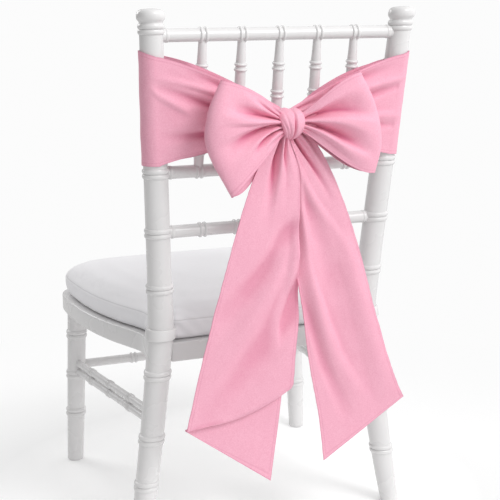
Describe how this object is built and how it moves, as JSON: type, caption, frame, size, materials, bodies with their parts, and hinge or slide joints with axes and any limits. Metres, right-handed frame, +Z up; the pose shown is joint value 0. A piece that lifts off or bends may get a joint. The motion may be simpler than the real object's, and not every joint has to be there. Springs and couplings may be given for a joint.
{
  "type": "bow-tied chair sash on a ballroom chair with a seat pad",
  "caption": "Wide strip of cloth wrapped round the back of a turned ballroom chair and tied in a bow with long hanging tails; the chair has a spindle back and a loose seat pad.",
  "frame": {"origin": "on the floor, under the middle of the whole part's outline", "axes": "+Z up, +Y towards the front of the seat, +X to the right as seen from behind the chair"},
  "size_m": [0.544, 0.6017, 0.92],
  "materials": {
    "chair_paint": "satin white paint",
    "pad_cloth": "matt white woven cover over foam",
    "sash_cloth": "smooth pink polyester with a soft sheen"
  },
  "bodies": {
    "root": {"back_post_left": "chair_paint", "back_post_right": "chair_paint", "front_leg_left": "chair_paint", "front_leg_right": "chair_paint", "front_stretcher": "chair_paint", "side_stretcher_left_upper": "chair_paint", "side_stretcher_left_lower": "chair_paint", "side_stretcher_right_upper": "chair_paint", "side_stretcher_right_lower": "chair_paint", "top_rail": "chair_paint", "mid_rail": "chair_paint", "low_rail": "chair_paint", "spindle_1": "chair_paint", "spindle_2": "chair_paint", "spindle_3": "chair_paint", "spindle_4": "chair_paint", "spindle_5": "chair_paint", "seat_board": "chair_paint", "seat_pad": "pad_cloth", "sash": "sash_cloth"}
  },
  "joints": []
}
